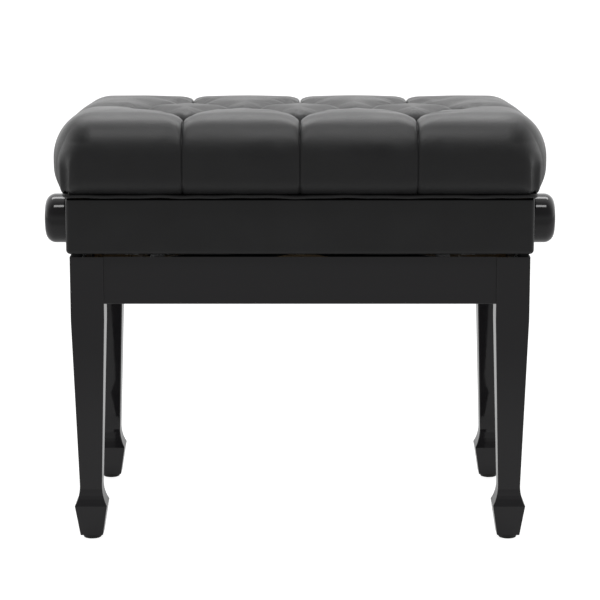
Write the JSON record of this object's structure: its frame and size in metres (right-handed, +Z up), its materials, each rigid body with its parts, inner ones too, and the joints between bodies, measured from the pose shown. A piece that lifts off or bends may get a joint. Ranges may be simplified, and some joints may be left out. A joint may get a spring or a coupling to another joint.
{
  "type": "piano bench",
  "caption": "Height-adjustable piano bench with a lacquered leg frame, button-tufted leather seat box and a scissor lift turned by side knobs.",
  "frame": {"origin": "on the floor under the middle of the bench, seat at its lowest", "axes": "+X along the bench from left to right as the player's side is faced, +Y from the front to the back, +Z up"},
  "size_m": [0.6378, 0.3694, 0.518],
  "materials": {
    "polished_ebony_lacquer": "gloss",
    "bare_hardwood": "matte",
    "black_stained_hardwood": "matte",
    "plywood": "matte",
    "black_leather": "satin",
    "foam": "matte",
    "waxed_twine": "matte",
    "black_nylon": "matte",
    "black_felt": "matte",
    "black_steel": "satin",
    "zinc_steel": "satin",
    "bright_steel": "polished"
  },
  "bodies": {
    "base": {"leg_front_left": "polished_ebony_lacquer", "leg_rear_left": "polished_ebony_lacquer", "leg_front_right": "polished_ebony_lacquer", "leg_rear_right": "polished_ebony_lacquer", "foot_glides": "black_nylon", "glide_nails": "zinc_steel", "corner_blocks": "black_stained_hardwood", "hanger_bolts": "zinc_steel", "bolt_washers": "zinc_steel", "bolt_nuts": "zinc_steel", "corner_block_screws": "zinc_steel", "rest_pads": "black_felt", "apron_front": "polished_ebony_lacquer", "apron_left": "polished_ebony_lacquer", "apron_rear": "polished_ebony_lacquer", "apron_right": "polished_ebony_lacquer", "lower_rail_front": "black_steel", "lower_strap_left": "black_steel", "lower_rail_rear": "black_steel", "lower_strap_right": "black_steel", "rail_rivets": "zinc_steel", "strap_screws": "zinc_steel", "lower_pivot_rod": "zinc_steel"},
    "carriage": {"seat_board": "plywood", "skirt_front": "bare_hardwood", "skirt_rear": "bare_hardwood", "skirt_left": "bare_hardwood", "skirt_right": "bare_hardwood", "skirt_cover_front": "black_leather", "skirt_cover_rear": "black_leather", "skirt_cover_left": "black_leather", "skirt_cover_right": "black_leather", "welt_piping": "black_leather", "foam_core": "foam", "cushion_cover": "black_leather", "tufting_buttons": "black_leather", "tufting_twines": "waxed_twine", "twine_washers": "zinc_steel", "upper_rail_front": "black_steel", "upper_rail_rear": "black_steel", "upper_rail_screws": "zinc_steel", "skirt_screws": "zinc_steel", "thrust_bar": "bright_steel", "spindle_bush_left": "black_nylon", "spindle_bush_right": "black_nylon"},
    "spindle": {"spindle_rod": "bright_steel", "knob_left": "polished_ebony_lacquer", "knob_right": "polished_ebony_lacquer", "knob_set_screws": "zinc_steel", "thrust_collars": "zinc_steel"},
    "nut": {"nut_bar": "bright_steel"},
    "arms_a": {"arm_a_front": "black_steel", "arm_a_rear": "black_steel", "centre_rivets": "zinc_steel"},
    "arms_b": {"arm_b_front": "black_steel", "arm_b_rear": "black_steel", "lower_slide_rod": "zinc_steel"}
  },
  "joints": [
    {"name": "seat_lift", "type": "slide", "parent": "base", "child": "carriage", "axis": [0, 0, 1], "range_m": [0, 0.08]},
    {"name": "spindle_turn", "type": "hinge", "parent": "carriage", "child": "spindle", "pos_m": [0, 0, 0.3715], "axis": [1, 0, 0], "range_deg": [0, 2908.24]},
    {"name": "nut_slide", "type": "slide", "parent": "carriage", "child": "nut", "axis": [-1, 0, 0], "range_m": [0, 0.02439]},
    {"name": "arm_a_swing", "type": "hinge", "parent": "base", "child": "arms_a", "pos_m": [-0.17469, 0, 0.3095], "axis": [0, -1, 0], "range_deg": [0, 13.73]},
    {"name": "arm_b_swing", "type": "hinge", "parent": "carriage", "child": "arms_b", "pos_m": [-0.17469, 0, 0.3715], "axis": [0, 1, 0], "range_deg": [0, 13.73]}
  ],
  "couplings": [
    {"joint": "spindle_turn", "follows": "seat_lift", "rad_per_m": 633.39},
    {"joint": "nut_slide", "follows": "seat_lift", "ratio": 0.30242},
    {"joint": "arm_a_swing", "follows": "seat_lift", "rad_per_m": 2.9511},
    {"joint": "arm_b_swing", "follows": "seat_lift", "rad_per_m": 2.9511}
  ]
}
